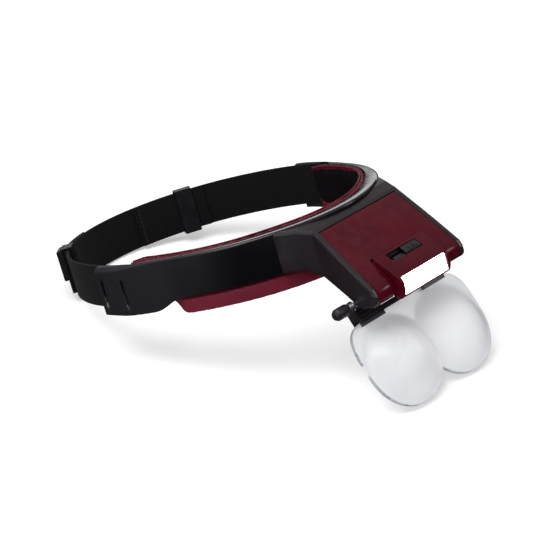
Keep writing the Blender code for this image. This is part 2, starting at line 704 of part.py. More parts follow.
def make_reflector(face, pivot):
    """Bright reflector plate with a bowl around each LED."""
    back, front = -139.0, face + 0.4
    top = WINDOW_TOP - 1.4
    outline = [(front, top), (front, WINDOW_BOTTOM + 2.0), (back, WINDOW_BOTTOM + 4.4), (back, top)]
    plate = prism("lamp_reflector", outline, -MOUTH_HALF + 0.4, MOUTH_HALF - 0.4, "chrome", pivot)
    for side in (-1, 1):
        bowl = turned(f"bowl_cut_{side}", (side * LED_X, -130.0, LED_BASE[1]), (0, -1, 0),
                      [(0, 2.85), (9.4, 2.85), (12.6, 3.9)], "chrome", 20)
        cut(plate, bowl)
    return smooth(plate)


def make_switch():
    """Slide switch: a knob in the pod's slot and its body underneath."""
    rest = SWITCH_SLOT[0] / 2.0 - SWITCH_KNOB[0] / 2.0 - 0.5
    pivot = (rest, *SWITCH_CENTRE)
    width, depth, height = SWITCH_KNOB
    rise = (-0.8, height - 1.8)
    knob = pod_box("switch_knob", SWITCH_CENTRE, width, depth, rise, "satin_black", rest, pivot)
    bevel(knob, 0.4, 2, 40.0)
    pod_box("switch_body", SWITCH_BODY, *SWITCH_BODY_SIZE, (-4.4, -2.1), pivot=(0.0, *LAMP_PIVOT))


# ---------------------------------------------------------------- lens

def lens_axes():
    """Down and forward directions of the lens plate, as (y, z) pairs."""
    return (-math.sin(LENS_TILT), -math.cos(LENS_TILT)), (-math.cos(LENS_TILT), math.sin(LENS_TILT))


def lens_point(x, down, forward):
    """A point of the lens plate in the headband's frame."""
    d, f = lens_axes()
    return x, LENS_TOP[0] + d[0] * down + f[0] * forward, LENS_TOP[1] + d[1] * down + f[1] * forward


def plate_outline(bottom, top, front, rear):
    """Outline of a block square to the lens plate, in (y, z)."""
    return [lens_point(0.0, down, forward)[1:] for down, forward in
            ((bottom, front), (bottom, rear), (top, rear), (top, front))]


def lobe_outline(turn):
    """Unit outline of a lobe: squarer at the top, round at the bottom."""
    c, s = math.cos(turn), math.sin(turn)
    power = 2.0 / (2.15 if s > 0 else 4.0)
    return math.copysign(abs(c) ** power, c), math.copysign(abs(s) ** power, s)


def dome(across, down):
    """Height of a lobe's crown over its rim."""
    share = (across / LOBE_HALF) ** 2 + ((down - DOME_CENTRE) / (DOME_HEIGHT / 2.0)) ** 2
    return LENS_BULGE * max(0.0, 1.0 - share)


def make_lobe(name, side):
    """One plano-convex lobe."""
    rings, sides = 8, 40
    verts = []
    centre = LOBE_HEIGHT / 2.0
    for i in range(rings + 1):
        radius = 1.0 - i / rings
        for j in range(sides if i < rings else 1):
            u, v = lobe_outline(math.tau * j / sides)
            across, down = u * LOBE_HALF * radius, centre + v * LOBE_HEIGHT / 2.0 * radius
            rise = LENS_EDGE + dome(across, down)
            verts.append(lens_point(side * LENS_HALF_SPACING + across, down, rise))
    back = len(verts)
    for j in range(sides):
        u, v = lobe_outline(math.tau * j / sides)
        across, down = u * LOBE_HALF, centre + v * LOBE_HEIGHT / 2.0
        verts.append(lens_point(side * LENS_HALF_SPACING + across, down, 0.0))
    faces = [tuple(range(back, back + sides))]
    for j in range(sides):
        k = (j + 1) % sides
        faces.append((j, k, back + k, back + j))
        for i in range(rings - 1):
            faces.append((i * sides + j, i * sides + k, (i + 1) * sides + k, (i + 1) * sides + j))
        faces.append(((rings - 1) * sides + j, (rings - 1) * sides + k, rings * sides))
    return make_object(name, verts, faces, "clear")


def make_lens():
    """The clear lens plate: two lobes, a web between their tops and two tongues for the holder's clips."""
    lens = make_lobe("lens_plate", -1)
    outline = plate_outline(6.0, -TONGUE_RISE, LENS_EDGE - 0.45, 0.05)
    tongues = [prism(f"lens_tongue_{side}", outline, *sorted((side * TONGUE_START, side * TONGUE_HALF)))
               for side in (-1, 1)]
    web = prism("lens_web", plate_outline(WEB_HEIGHT, 0.1, LENS_EDGE - 0.05, 0.05), -WEB_HALF, WEB_HALF)
    join(lens, make_lobe("left_lobe", 1), web, *tongues)
    return smooth(lens, 40.0)


def make_holder():
    """Black lens holder: two ridged clips with knuckles around the shaft, joined by a thin bar."""
    pivot = (0.0, *HINGE)
    bar_outline = plate_outline(0.8, -2.4, CLIP_FRONT - 0.8, CLIP_REAR + 0.6)
    bar = prism("lens_holder", bar_outline, -CLIP_START - 1.0, CLIP_START + 1.0, "satin_black", pivot)
    for side in (-1, 1):
        low, high = sorted((side * CLIP_START, side * HOLDER_HALF))
        join(bar, prism(f"clip_{side}", plate_outline(3.0, -9.0, CLIP_FRONT, CLIP_REAR), low, high))
        for i in range(RIDGES):
            ridge = disc(lens_point(0.0, 1.2 - 2.0 * i, CLIP_FRONT - 0.1)[1:], 0.5, 8)
            join(bar, prism(f"ridge_{side}_{i}", ridge, low + 0.4, high - 0.4))
        low, high = sorted((side * KNUCKLE_SPAN[0], side * KNUCKLE_SPAN[1]))
        front = lens_point(0.0, -6.0, CLIP_FRONT - 0.5)[1:]
        rear = lens_point(0.0, -6.0, CLIP_REAR + 0.5)[1:]
        knuckle = disc(HINGE, KNUCKLE_RADIUS, 14, 0.0, math.pi) + [front, rear]
        join(bar, prism(f"knuckle_{side}", knuckle, low, high))
        low, high = sorted((side * (TONGUE_START - 0.4), side * (TONGUE_HALF + 0.4)))
        slot = plate_outline(8.0, -TONGUE_RISE - 0.35, LENS_EDGE + GAP, -GAP)
        cut(bar, prism(f"tongue_slot_{side}", slot, low, high))
    edge_slot = prism("edge_slot_cut", plate_outline(8.0, -0.4, LENS_EDGE + GAP, -GAP), -60.0, 60.0)
    cut(bar, edge_slot, shaft_bore("holder_bore_cut", -60.0, 120.0))
    return smooth(bar, 30.0)


def make_hinge():
    """Shaft, tilt knob, spring washer and nut."""
    pivot = (0.0, *HINGE)
    end = SHAFT_RADIUS - 0.3
    shaft = [(0, end), (0.4, SHAFT_RADIUS), (SHAFT_LENGTH - 0.4, SHAFT_RADIUS), (SHAFT_LENGTH, end)]
    turned("hinge_shaft", (-KNOB_START - 4.0, *HINGE), (1, 0, 0), shaft, "steel", 20, pivot)
    shape = [(0, KNOB_RADIUS - 1.0), (0.8, KNOB_RADIUS - 0.2), (1.6, KNOB_RADIUS), (8.8, KNOB_RADIUS),
             (10.2, KNOB_RADIUS - 0.7), (KNOB_END - KNOB_START, KNOB_RADIUS - 1.8)]
    knob = turned("tilt_knob", (-KNOB_START, *HINGE), (-1, 0, 0), shape, "satin_black", 24, pivot)
    cut(knob, shaft_bore("knob_bore_cut", -KNOB_START - 4.6, 5.6))
    disc_shape = [(0, NUT_RADIUS), (0.8, NUT_RADIUS)]
    washer = turned("spring_washer", (-NUT_AT, *HINGE), (-1, 0, 0), disc_shape, "steel", 20, pivot)
    cut(washer, shaft_bore("washer_bore_cut", -NUT_AT - 2.7, 4.0))
    nut_shape = [(0, NUT_RADIUS), (2.4, NUT_RADIUS)]
    nut = turned("shaft_nut", (NUT_AT, *HINGE), (1, 0, 0), nut_shape, "steel", 6, pivot)
    cut(nut, shaft_bore("nut_bore_cut", NUT_AT - 1.3, 5.0))


# ---------------------------------------------------------------- assembly

def rest_pitch():
    """Angle that stands the part on its lens lobes and the rear of its strap."""
    _, lens_y, lens_z = lens_point(0.0, LOBE_HEIGHT, 0.0)
    strap_y, strap_z = RING_REAR, STRAP_TOP - STRAP_HEIGHT
    return math.atan2(strap_z - lens_z, strap_y - lens_y)


def stand_up():
    """Pitch the assembly onto its resting points, with the bounding box's bottom centre at the origin."""
    ROOT.rotation_euler = (-rest_pitch(), 0.0, 0.0)
    bpy.context.view_layer.update()
    graph = bpy.context.evaluated_depsgraph_get()
    corners = []
    for piece in bpy.data.objects:
        if piece.type == "MESH" and not piece.hide_render:
            ready = piece.evaluated_get(graph)
            corners += [ready.matrix_world @ v.co for v in ready.data.vertices]
    low = [min(c[i] for c in corners) for i in range(3)]
    high = [max(c[i] for c in corners) for i in range(3)]
    ROOT.location = (-(low[0] + high[0]) / 2.0, -(low[1] + high[1]) / 2.0, -low[2])
    bpy.context.view_layer.update()


make_band()
make_pad()
make_strap()
make_tails()
make_sliders()
make_hood()
make_cover()
make_cells()
make_contacts()
make_hood_screws()
make_lamp()
make_switch()
make_lens()
make_holder()
make_hinge()
stand_up()
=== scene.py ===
"""Looks of the head visor magnifier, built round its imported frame."""

import json
import math

import bmesh
import bpy
from mathutils import Matrix, Vector


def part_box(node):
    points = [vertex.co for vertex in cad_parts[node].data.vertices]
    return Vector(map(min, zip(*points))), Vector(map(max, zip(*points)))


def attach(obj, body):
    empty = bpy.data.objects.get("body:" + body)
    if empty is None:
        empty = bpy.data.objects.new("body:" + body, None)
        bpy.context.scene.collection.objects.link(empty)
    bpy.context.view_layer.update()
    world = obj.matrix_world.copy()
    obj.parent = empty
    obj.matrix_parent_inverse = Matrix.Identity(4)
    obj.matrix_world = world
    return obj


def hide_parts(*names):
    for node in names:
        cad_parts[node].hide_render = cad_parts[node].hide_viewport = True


MM = 0.001
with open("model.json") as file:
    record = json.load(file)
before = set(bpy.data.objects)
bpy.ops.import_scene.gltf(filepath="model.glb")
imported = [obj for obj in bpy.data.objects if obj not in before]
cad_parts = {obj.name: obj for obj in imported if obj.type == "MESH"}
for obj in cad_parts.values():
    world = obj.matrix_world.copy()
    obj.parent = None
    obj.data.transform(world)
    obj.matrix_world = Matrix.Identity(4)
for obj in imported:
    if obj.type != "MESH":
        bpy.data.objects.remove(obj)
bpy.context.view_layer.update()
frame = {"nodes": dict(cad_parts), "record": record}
NODES = frame["nodes"]

# ---------------------------------------------------------------- the headband's own frame

HEAD = next(m for m in frame["record"]["mounts"] if m["name"] == "head")
UP = Vector(HEAD["axis"]).normalized()
ACROSS = Vector((1.0, 0.0, 0.0))
BACK = UP.cross(ACROSS)
ORIGIN = Vector(HEAD["pos_m"]) + UP * 0.012
RING = Matrix((ACROSS, BACK, UP)).transposed().to_4x4()
RING.translation = ORIGIN

# Headband, the same sizes as the CAD in millimetres.
RING_FRONT, RING_REAR, RING_HALF_WIDTH = 103.0, 97.0, 86.0
BAND_HEIGHT, BAND_WALL = 23.8, 2.4
FLANGE_WIDTH, FLANGE_SIDE_WIDTH, FLANGE_THICK = 8.4, 3.6, 2.0
ARM_START, ARM_END, ARM_HEIGHT, ARM_FLARE, ARM_INNER = 70.0, 98.0, 29.4, 6.4, 1.3
ARM_SLANT = 2.4
ARM_SLOTS = (87.5, 95.5)
SLOT_TOP, SLOT_BOTTOM, SLOT_WIDTH = -8.0, -23.0, 1.8
PAD_END, PAD_TOP, PAD_BOTTOM = 87.0, 0.8, -34.3
PAD_FRONT_THICK, PAD_SIDE_THICK, PAD_SKIRT_END, PAD_END_BOTTOM = 12.8, 9.0, 73.0, -26.8
PIPING_RADIUS = 0.65
STRAP_THICK, STRAP_TOP, STRAP_HEIGHT, STRAP_START = 1.8, -0.4, 24.8, 85.5
TAIL_THICK, TAIL_GAP, TAIL_SPAN, SLIDER_AT = 1.4, 0.35, 22.0, 144.3

# Cloth pressure on the pad; the voxel and the growth are in metres.
PUFF_VOXEL, PUFF_GROWTH, PUFF_PRESSURE, PUFF_STEPS = 0.0016, 0.0007, 4.0, 20

# Lens.
LENS_TILT = math.radians(23.0)
LENS_TOP = (-118.6, -58.2)
LENS_HALF_SPACING, LOBE_HALF, LOBE_HEIGHT = 22.8, 27.6, 55.5
LENS_EDGE, LENS_BULGE, DOME_CENTRE, DOME_HEIGHT = 3.0, 14.0, 29.5, 53.0
WEB_HALF, WEB_HEIGHT = 14.0, 8.0
TONGUE_START, TONGUE_HALF, TONGUE_RISE = 20.0, 34.0, 4.0

# Hood, cover, lamp and switch.
SLOPE, SLOPE_ORIGIN, FRAME_RISE = math.radians(45.8), (-106.4, -7.1), 2.5
COVER_HALF_REAR, COVER_HALF_FRONT, COVER_LENGTH, COVER_THICK, COVER_SEAT = 33.4, 36.6, 41.5, 1.8, 0.6
NOSE_CORNERS = ((-133.4, -32.7), (-138.6, -37.0), (-141.2, -41.2), (-140.6, -45.8), (-138.0, -46.0),
                (-138.0, -39.6), (-134.6, -36.2))
LAMP_HALF, LAMP_GAP, LAMP_WALL = 21.7, 22.2, 1.6
LAMP_CORNERS = ((-129.4, -25.6), (-141.4, -35.4), (-145.2, -39.6), (-144.8, -46.4), (-142.6, -50.0),
                (-139.0, -49.2), (-131.0, -41.2), (-126.9, -33.6), (-129.3, -29.9))
WINDOW_TOP, WINDOW_BOTTOM = -38.2, -48.4
SWITCH_CENTRE, SWITCH_SLOT, SWITCH_KNOB = (-133.7, -29.06), (26.0, 6.4), (13.0, 5.2)


def place(x, y, z):
    """World position of a point given in millimetres in the headband's frame."""
    return RING @ (Vector((x, y, z)) * MM)


# ---------------------------------------------------------------- materials

class Shader:
    """A Principled material and short calls for its node tree."""

    def __init__(self, name, colour, roughness, metallic=0.0, **sockets):
        self.made = bpy.data.materials.new(name)
        self.made.use_nodes = True
        self.tree = self.made.node_tree
        self.main = self.tree.nodes["Principled BSDF"]
        self.colour = colour
        self.roughness = roughness
        self.main.inputs["Base Color"].default_value = (*colour, 1.0)
        self.main.inputs["Roughness"].default_value = roughness
        self.main.inputs["Metallic"].default_value = metallic
        for socket, value in sockets.items():
            self.main.inputs[socket.replace("_", " ")].default_value = value

    def node(self, kind, **values):
        made = self.tree.nodes.new(kind)
        for key, value in values.items():
            setattr(made, key, value)
        return made

    def link(self, out, to):
        self.tree.links.new(out, to)

    def coords(self, output="Object", scale=(1.0, 1.0, 1.0), rotation=(0.0, 0.0, 0.0)):
        source = self.node("ShaderNodeTexCoord")
        mapping = self.node("ShaderNodeMapping")
        mapping.inputs["Scale"].default_value = scale
        mapping.inputs["Rotation"].default_value = rotation
        self.link(source.outputs[output], mapping.inputs["Vector"])
        return mapping.outputs["Vector"]

    def noise(self, scale, detail=4.0, coords=None, roughness=0.5):
        made = self.node("ShaderNodeTexNoise")
        made.inputs["Scale"].default_value = scale
        made.inputs["Detail"].default_value = detail
        made.inputs["Roughness"].default_value = roughness
        self.link(coords or self.coords(), made.inputs["Vector"])
        return made.outputs["Fac"]

    def remap(self, value, low, high, to_low, to_high):
        made = self.node("ShaderNodeMapRange")
        limits = {"From Min": low, "From Max": high, "To Min": to_low, "To Max": to_high}
        for socket, number in limits.items():
            made.inputs[socket].default_value = number
        self.link(value, made.inputs["Value"])
        return made.outputs["Result"]

    def math(self, operation, a, b):
        made = self.node("ShaderNodeMath", operation=operation)
        for index, value in enumerate((a, b)):
            if isinstance(value, float):
                made.inputs[index].default_value = value
            else:
                self.link(value, made.inputs[index])
        return made.outputs["Value"]

    def tint(self, factor, one, two):
        made = self.node("ShaderNodeMix", data_type="RGBA")
        for socket, value in ((6, one), (7, two)):
            if isinstance(value, tuple):
                made.inputs[socket].default_value = (*value, 1.0)
            else:
                self.link(value, made.inputs[socket])
        self.link(factor, made.inputs[0])
        return made.outputs[2]

    def bump(self, height, distance, strength=1.0, below=None):
        made = self.node("ShaderNodeBump")
        made.inputs["Distance"].default_value = distance
        made.inputs["Strength"].default_value = strength
        self.link(height, made.inputs["Height"])
        if below:
            self.link(below, made.inputs["Normal"])
        return made.outputs["Normal"]

    def vary(self, scale, colour_swing=0.15, rough_swing=0.05):
        """Slow drift of colour and roughness over the surface."""
        drift = self.noise(scale, 5.0)
        light = tuple(min(1.0, c * (1.0 + colour_swing)) for c in self.colour)
        dark = tuple(c * (1.0 - colour_swing) for c in self.colour)
        shade = self.tint(self.remap(drift, 0.35, 0.65, 0.0, 1.0), dark, light)
        self.link(shade, self.main.inputs["Base Color"])
        smoothest = max(0.02, self.roughness - rough_swing)
        rough = self.remap(drift, 0.3, 0.7, smoothest, self.roughness + rough_swing)
        self.link(rough, self.main.inputs["Roughness"])
        return self

    def grain(self, scale, distance, strength=0.5):
        self.link(self.bump(self.noise(scale, 3.0), distance, strength), self.main.inputs["Normal"])
        return self


def worn(shader, lift, amount=0.6):
    """Lighter, rubbed colour along the surface's convex edges."""
    edges = shader.node("ShaderNodeNewGeometry").outputs["Pointiness"]
    mask = shader.remap(edges, 0.52, 0.60, 0.0, amount)
    patchy = shader.math("MULTIPLY", mask, shader.remap(shader.noise(180.0), 0.4, 0.65, 0.2, 1.0))
    base = shader.main.inputs["Base Color"].links[0].from_socket
    light = tuple(min(1.0, c * lift + 0.012) for c in shader.colour)
    shader.link(shader.tint(patchy, base, light), shader.main.inputs["Base Color"])
    return shader


def band_material():
    """Deep gloss in the middle of the band, fading to moulded satin on the arms."""
    shader = Shader("band_black", (0.0035, 0.003, 0.0045), 0.10, Specular_IOR_Level=0.42)
    uv = shader.node("ShaderNodeSeparateXYZ")
    shader.link(shader.coords("UV"), uv.inputs["Vector"])
    side = shader.math("ABSOLUTE", uv.outputs["X"], 0.0)
    wander = shader.remap(shader.noise(14.0, 2.0), 0.3, 0.7, -4.0, 4.0)
    arm = shader.remap(shader.math("ADD", side, wander), 48.0, 70.0, 0.0, 1.0)
    shade = shader.tint(arm, (0.0028, 0.0024, 0.0036), (0.0125, 0.0115, 0.0150))
    shader.link(shade, shader.main.inputs["Base Color"])
    drift = shader.remap(shader.noise(55.0), 0.3, 0.7, 0.06, 0.12)
    satin = shader.math("MULTIPLY", arm, 0.30)
    shader.link(shader.math("ADD", drift, satin), shader.main.inputs["Roughness"])
    fine = shader.bump(shader.noise(1400.0, 2.0), 0.00006, 0.35)
    shader.link(fine, shader.main.inputs["Normal"])
    return shader.made


def moulded(name, colour, roughness, level=0.5, lift=1.8, grain=1600.0, depth=0.00005):
    """Moulded plastic with fine texture, drift and edge wear."""
    shader = Shader(name, colour, roughness, Specular_IOR_Level=level)
    shader.vary(38.0, 0.16, 0.05).grain(grain, depth, 0.4)
    return worn(shader, lift, 0.4).made


def leatherette(name, colour, roughness):
    """Leatherette with pebble grain and soft creases."""
    shader = Shader(name, colour, roughness, Specular_IOR_Level=0.2)
    shader.vary(26.0, 0.22, 0.06)
    cells = shader.node("ShaderNodeTexVoronoi", feature="F1")
    cells.inputs["Scale"].default_value = 900.0
    shader.link(shader.coords(), cells.inputs["Vector"])
    pebble = shader.remap(cells.outputs["Distance"], 0.0, 0.7, 1.0, 0.0)
    creases = shader.bump(shader.noise(70.0, 6.0), 0.0006, 0.25)
    shader.link(shader.bump(pebble, 0.00018, 0.55, creases), shader.main.inputs["Normal"])
    return shader.made


def webbing():
    """Black woven elastic: ribs across, fine warp along, slightly fuzzy."""
    shader = Shader("elastic_webbing", (0.0040, 0.0037, 0.0050), 0.78, Specular_IOR_Level=0.14,
                    Sheen_Weight=0.03, Sheen_Roughness=0.5)
    coords = shader.coords("UV")
    ribs = shader.node("ShaderNodeTexWave", wave_type="BANDS", bands_direction="X")
    ribs.inputs["Scale"].default_value = 190.0
    ribs.inputs["Distortion"].default_value = 0.4
    warp = shader.node("ShaderNodeTexWave", wave_type="BANDS", bands_direction="Y")
    warp.inputs["Scale"].default_value = 330.0
    for wave in (ribs, warp):
        shader.link(coords, wave.inputs["Vector"])
    weave = shader.math("MULTIPLY", ribs.outputs["Fac"], warp.outputs["Fac"])
    fuzz = shader.noise(2200.0, 3.0)
    height = shader.math("ADD", weave, shader.math("MULTIPLY", fuzz, 0.35))
    shade = shader.tint(weave, (0.0022, 0.0020, 0.0029), (0.0056, 0.0052, 0.0068))
    shader.link(shade, shader.main.inputs["Base Color"])
    shader.link(shader.remap(weave, 0.0, 1.0, 0.82, 0.62), shader.main.inputs["Roughness"])
    shader.link(shader.bump(height, 0.00022, 0.7), shader.main.inputs["Normal"])
    return shader.made


def thread():
    shader = Shader("stitch_thread", (0.020, 0.018, 0.022), 0.6)
    return shader.vary(120.0, 0.2, 0.06).grain(3000.0, 0.00004, 0.5).made


def clear_lens():
    """Polished acrylic, clear and faintly milky, with fine handling marks; a faint painted glow from its own
    emission brightens it.
    """
    shader = Shader("lens_acrylic_painted_glow", (0.96, 0.965, 0.995), 0.16, Transmission_Weight=0.46, IOR=1.30,
                    Emission_Color=(0.95, 0.96, 1.0, 1.0), Emission_Strength=0.035)
    haze = shader.noise(26.0, 4.0)
    shader.link(shader.remap(haze, 0.3, 0.7, 0.15, 0.24), shader.main.inputs["Roughness"])
    shader.link(shader.tint(haze, (0.93, 0.935, 0.975), (0.985, 0.99, 1.0)), shader.main.inputs["Base Color"])
    marks = shader.coords(scale=(1.0, 1.0, 14.0), rotation=(0.3, 0.5, 0.2))
    shader.link(shader.bump(shader.noise(220.0, 2.0, marks), 0.00002, 0.2), shader.main.inputs["Normal"])
    return shader.made


def lens_rim_shade():
    """The plate's edge wall, painted greyer as shade for the dark line along the lens's edge, and duller than
    its faces.
    """
    shader = Shader("lens_edge_painted_shade", (0.42, 0.45, 0.47), 0.30, Transmission_Weight=0.35, IOR=1.45)
    return shader.vary(120.0, 0.12, 0.06).grain(2500.0, 0.00003, 0.5).made


def lit_window(lamps):
    """Clear window flooded by the lamps behind it, brightest in front of each."""
    shader = Shader("lit_window", (0.95, 0.92, 0.94), 0.12, Transmission_Weight=0.5, IOR=1.45,
                    Emission_Color=(1.0, 0.93, 0.95, 1.0))
    nearest = None
    for lamp in lamps:
        reach = shader.node("ShaderNodeVectorMath", operation="DISTANCE")
        shader.link(shader.coords(), reach.inputs[0])
        reach.inputs[1].default_value = lamp
        away = reach.outputs["Value"]
        nearest = shader.math("MINIMUM", nearest, away) if nearest else away
    ripple = shader.remap(shader.noise(160.0, 2.0), 0.3, 0.7, -0.0015, 0.0015)
    far = shader.math("ADD", nearest, ripple)
    shader.link(shader.remap(far, 0.006, 0.016, 4.0, 0.45), shader.main.inputs["Emission Strength"])
    pink = shader.tint(shader.remap(far, 0.009, 0.016, 0.0, 1.0), (1.0, 0.97, 0.98), (1.0, 0.70, 0.78))
    shader.link(pink, shader.main.inputs["Emission Color"])
    return shader.made


def metal(name, colour, roughness, scale=300.0):
    shader = Shader(name, colour, roughness, 1.0)
    shader.vary(90.0, 0.08, 0.06)
    brushed = shader.coords(scale=(1.0, 9.0, 9.0))
    shader.link(shader.bump(shader.noise(scale, 3.0, brushed), 0.00003, 0.35), shader.main.inputs["Normal"])
    return shader.made


def glowing(name, colour, strength):
    shader = Shader(name, colour, 0.2, Emission_Color=(*colour, 1.0))
    level = shader.remap(shader.noise(200.0), 0.3, 0.7, strength * 0.9, strength * 1.1)
    shader.link(level, shader.main.inputs["Emission Strength"])
    return shader.made


def give(node, made):
    """Put one material on a carried-over CAD node."""
    slots = NODES[node].material_slots
    for slot in slots:
        slot.material = made


# ---------------------------------------------------------------- mesh helpers

def ring_point(degrees, offset=0.0):
    """A point on the headband ring, moved outward by the offset, in millimetres."""
    turn = math.radians(degrees)
    depth = RING_FRONT if math.cos(turn) > 0 else RING_REAR
    normal = Vector((depth * math.sin(turn), -RING_HALF_WIDTH * math.cos(turn))).normalized()
    x = RING_HALF_WIDTH * math.sin(turn) + offset * normal.x
    y = -depth * math.cos(turn) + offset * normal.y
    return x, y


def ramp(value, start, end, low, high):
    """Smooth change from low to high as value goes from start to end."""
    share = min(1.0, max(0.0, (value - start) / (end - start)))
    share = share * share * (3.0 - 2.0 * share)
    return low + (high - low) * share


def rounded(corners, radius, steps=3):
    """A closed outline with its corners rounded; radius is one number or one for each corner."""
    count = len(corners)
    radii = [radius] * count if isinstance(radius, float) else radius
    outline = []
    for i in range(count):
        here = Vector(corners[i])
        before, after = Vector(corners[i - 1]) - here, Vector(corners[(i + 1) % count]) - here
        reach = min(radii[i], before.length * 0.45, after.length * 0.45)
        start, end = here + before.normalized() * reach, here + after.normalized() * reach
        for j in range(steps + 1):
            t = j / steps
            outline.append(tuple(start * (1 - t) ** 2 + here * 2 * t * (1 - t) + end * t * t))
    return outline


def build(name, verts, faces, material, body, angle=35.0, uvs=None):
    """A mesh object from headband-frame millimetres, smooth shaded and riding on a body."""
    mesh = bpy.data.meshes.new(name)
    mesh.from_pydata([place(*v) for v in verts], [], faces)
    if uvs:
        layer = mesh.uv_layers.new(name="UVMap")
        for loop in mesh.loops:
            layer.data[loop.index].uv = uvs[loop.vertex_index]
    work = bmesh.new()
    work.from_mesh(mesh)
    bmesh.ops.recalc_face_normals(work, faces=work.faces)
    work.to_mesh(mesh)
    work.free()
    mesh.materials.append(material)
    mesh.shade_smooth()
    mesh.set_sharp_from_angle(angle=math.radians(angle))
    made = bpy.data.objects.new(name, mesh)
    bpy.context.scene.collection.objects.link(made)
    if body:
        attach(made, body)
    return made


def sweep(name, start, end, section, material, body, step=1.5, angle=35.0, degrees_uv=False):
    """Sweep a closed (offset, z) section along the ring; the UV is arc length and height."""
    count = max(2, round(abs(end - start) / step))
    verts, uvs = [], []
    travelled, last = 0.0, None
    for i in range(count + 1):
        degrees = start + (end - start) * i / count
        centre = Vector(ring_point(degrees))
        travelled += (centre - last).length * MM if last else 0.0
        last = centre
        for offset, z in section(degrees):
            verts.append((*ring_point(degrees, offset), z))
            uvs.append((degrees if degrees_uv else travelled, z * MM))
    size = len(verts) // (count + 1)
    faces = [tuple(range(size)), tuple(range(count * size, (count + 1) * size))]
    for i in range(count):
        for j in range(size):
            k = (j + 1) % size
            faces.append((i * size + j, i * size + k, (i + 1) * size + k, (i + 1) * size + j))
    return build(name, verts, faces, material, body, angle, uvs)


def carve(target, cutters, union=()):
    """Apply Booleans and drop the tools."""
    for operation, tools in (("UNION", union), ("DIFFERENCE", cutters)):
        for tool in tools:
            step = target.modifiers.new("carve", "BOOLEAN")
            step.operation = operation
            step.solver = "EXACT"
            step.object = tool
    graph = bpy.context.evaluated_depsgraph_get()
    ready = bpy.data.meshes.new_from_object(target.evaluated_get(graph))
    target.modifiers.clear()
    target.data = ready
    for tool in (*union, *cutters):
        bpy.data.objects.remove(tool, do_unlink=True)
    return target


def prism(name, outline, low, high, material, body=None):
    """Extrude a (y, z) outline across the part."""
    count = len(outline)
    verts = [(low, *point) for point in outline] + [(high, *point) for point in outline]
    faces = [tuple(range(count)), tuple(range(count, 2 * count))]
    faces += [(i, (i + 1) % count, count + (i + 1) % count, count + i) for i in range(count)]
    return build(name, verts, faces, material, body)


def soften(piece, width, segments=4, angle=40.0):
    """Round the piece's edges and shade it smooth."""
    edge = piece.modifiers.new("edge", "BEVEL")
    edge.width = width * MM
    edge.segments = segments
    edge.limit_method = "ANGLE"
    edge.angle_limit = math.radians(angle)
    edge.harden_normals = False
    bake(piece)
    piece.data.shade_smooth()
    piece.data.set_sharp_from_angle(angle=math.radians(35.0))
    return piece


def block(name, degrees, out, along, heights, material=None):
    """A box square to the ring: out, along and heights are (low, high) pairs."""
    a, b = Vector(ring_point(degrees)), Vector(ring_point(degrees, 1.0))
    normal = b - a
    side = Vector((-normal.y, normal.x))
    verts = []
    for z in heights:
        for o, s in ((out[0], along[0]), (out[1], along[0]), (out[1], along[1]), (out[0], along[1])):
            spot = a + normal * o + side * s
            verts.append((spot.x, spot.y, z))
    faces = [(0, 1, 2, 3), (4, 5, 6, 7), (0, 1, 5, 4), (1, 2, 6, 5), (2, 3, 7, 6), (3, 0, 4, 7)]
    return build(name, verts, faces, material or bpy.data.materials["band_black"], None)


# ---------------------------------------------------------------- headband

def flange_edge(side):
    return -ramp(side, 30.0, 66.0, FLANGE_WIDTH, FLANGE_SIDE_WIDTH)


def band_section(degrees):
    """Rounded section of the band, with the arm's extra height and flare."""
    side = abs(degrees)
    outer = ramp(side, ARM_START, ARM_END, 0.0, ARM_FLARE)
    inner = ramp(side, 77.0, 83.5, -BAND_WALL, ARM_INNER)
    flange = ramp(side, 76.0, 83.5, flange_edge(side), inner - 0.2)
    height = ramp(side, ARM_START - 1.0, 79.0, BAND_HEIGHT, ARM_HEIGHT) - ramp(side, 86.0, ARM_END, 0.0, 1.4)
    slant = ramp(side, 74.0, 90.0, 0.8, ARM_SLANT)
    corners = [(outer, -slant), (outer - slant, 0.0), (flange, 0.0), (flange, -FLANGE_THICK),
               (inner, -FLANGE_THICK - 0.01), (inner, -height), (outer, -height)]
    return rounded(corners, [0.5, 0.5, 0.6, 0.5, 0.3, 0.6, 1.0], 3)


def make_band():
    """The brow band with rounded edges and its slots cut through."""
    band = sweep("band_shell", -ARM_END, ARM_END, band_section, band_material(), "headband", 1.0, 40.0, True)
    slots = [block(f"slot_{side}_{degrees}", side * degrees, (0.2, 12.0), (-SLOT_WIDTH / 2, SLOT_WIDTH / 2),
                   (SLOT_BOTTOM, SLOT_TOP)) for side in (-1, 1) for degrees in ARM_SLOTS]
    carve(band, slots)
    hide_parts("brow_band")


def pad_edges(side):
    """Offsets and heights of the pad's faces at an angle from the brow."""
    end = ramp(side, 80.0, PAD_END, 0.0, 1.0)
    back = -BAND_WALL - 1.8
    top = PAD_TOP - 1.5 * end
    bottom = ramp(side, PAD_SKIRT_END - 4.0, PAD_SKIRT_END + 1.0, PAD_BOTTOM, PAD_END_BOTTOM)
    inner = -ramp(side, 25.0, 62.0, PAD_FRONT_THICK, PAD_SIDE_THICK) + 1.2 * end
    skirt = ramp(side, PAD_SKIRT_END - 5.0, PAD_SKIRT_END, -0.6, back + 0.3)
    return back, top, bottom, inner, skirt


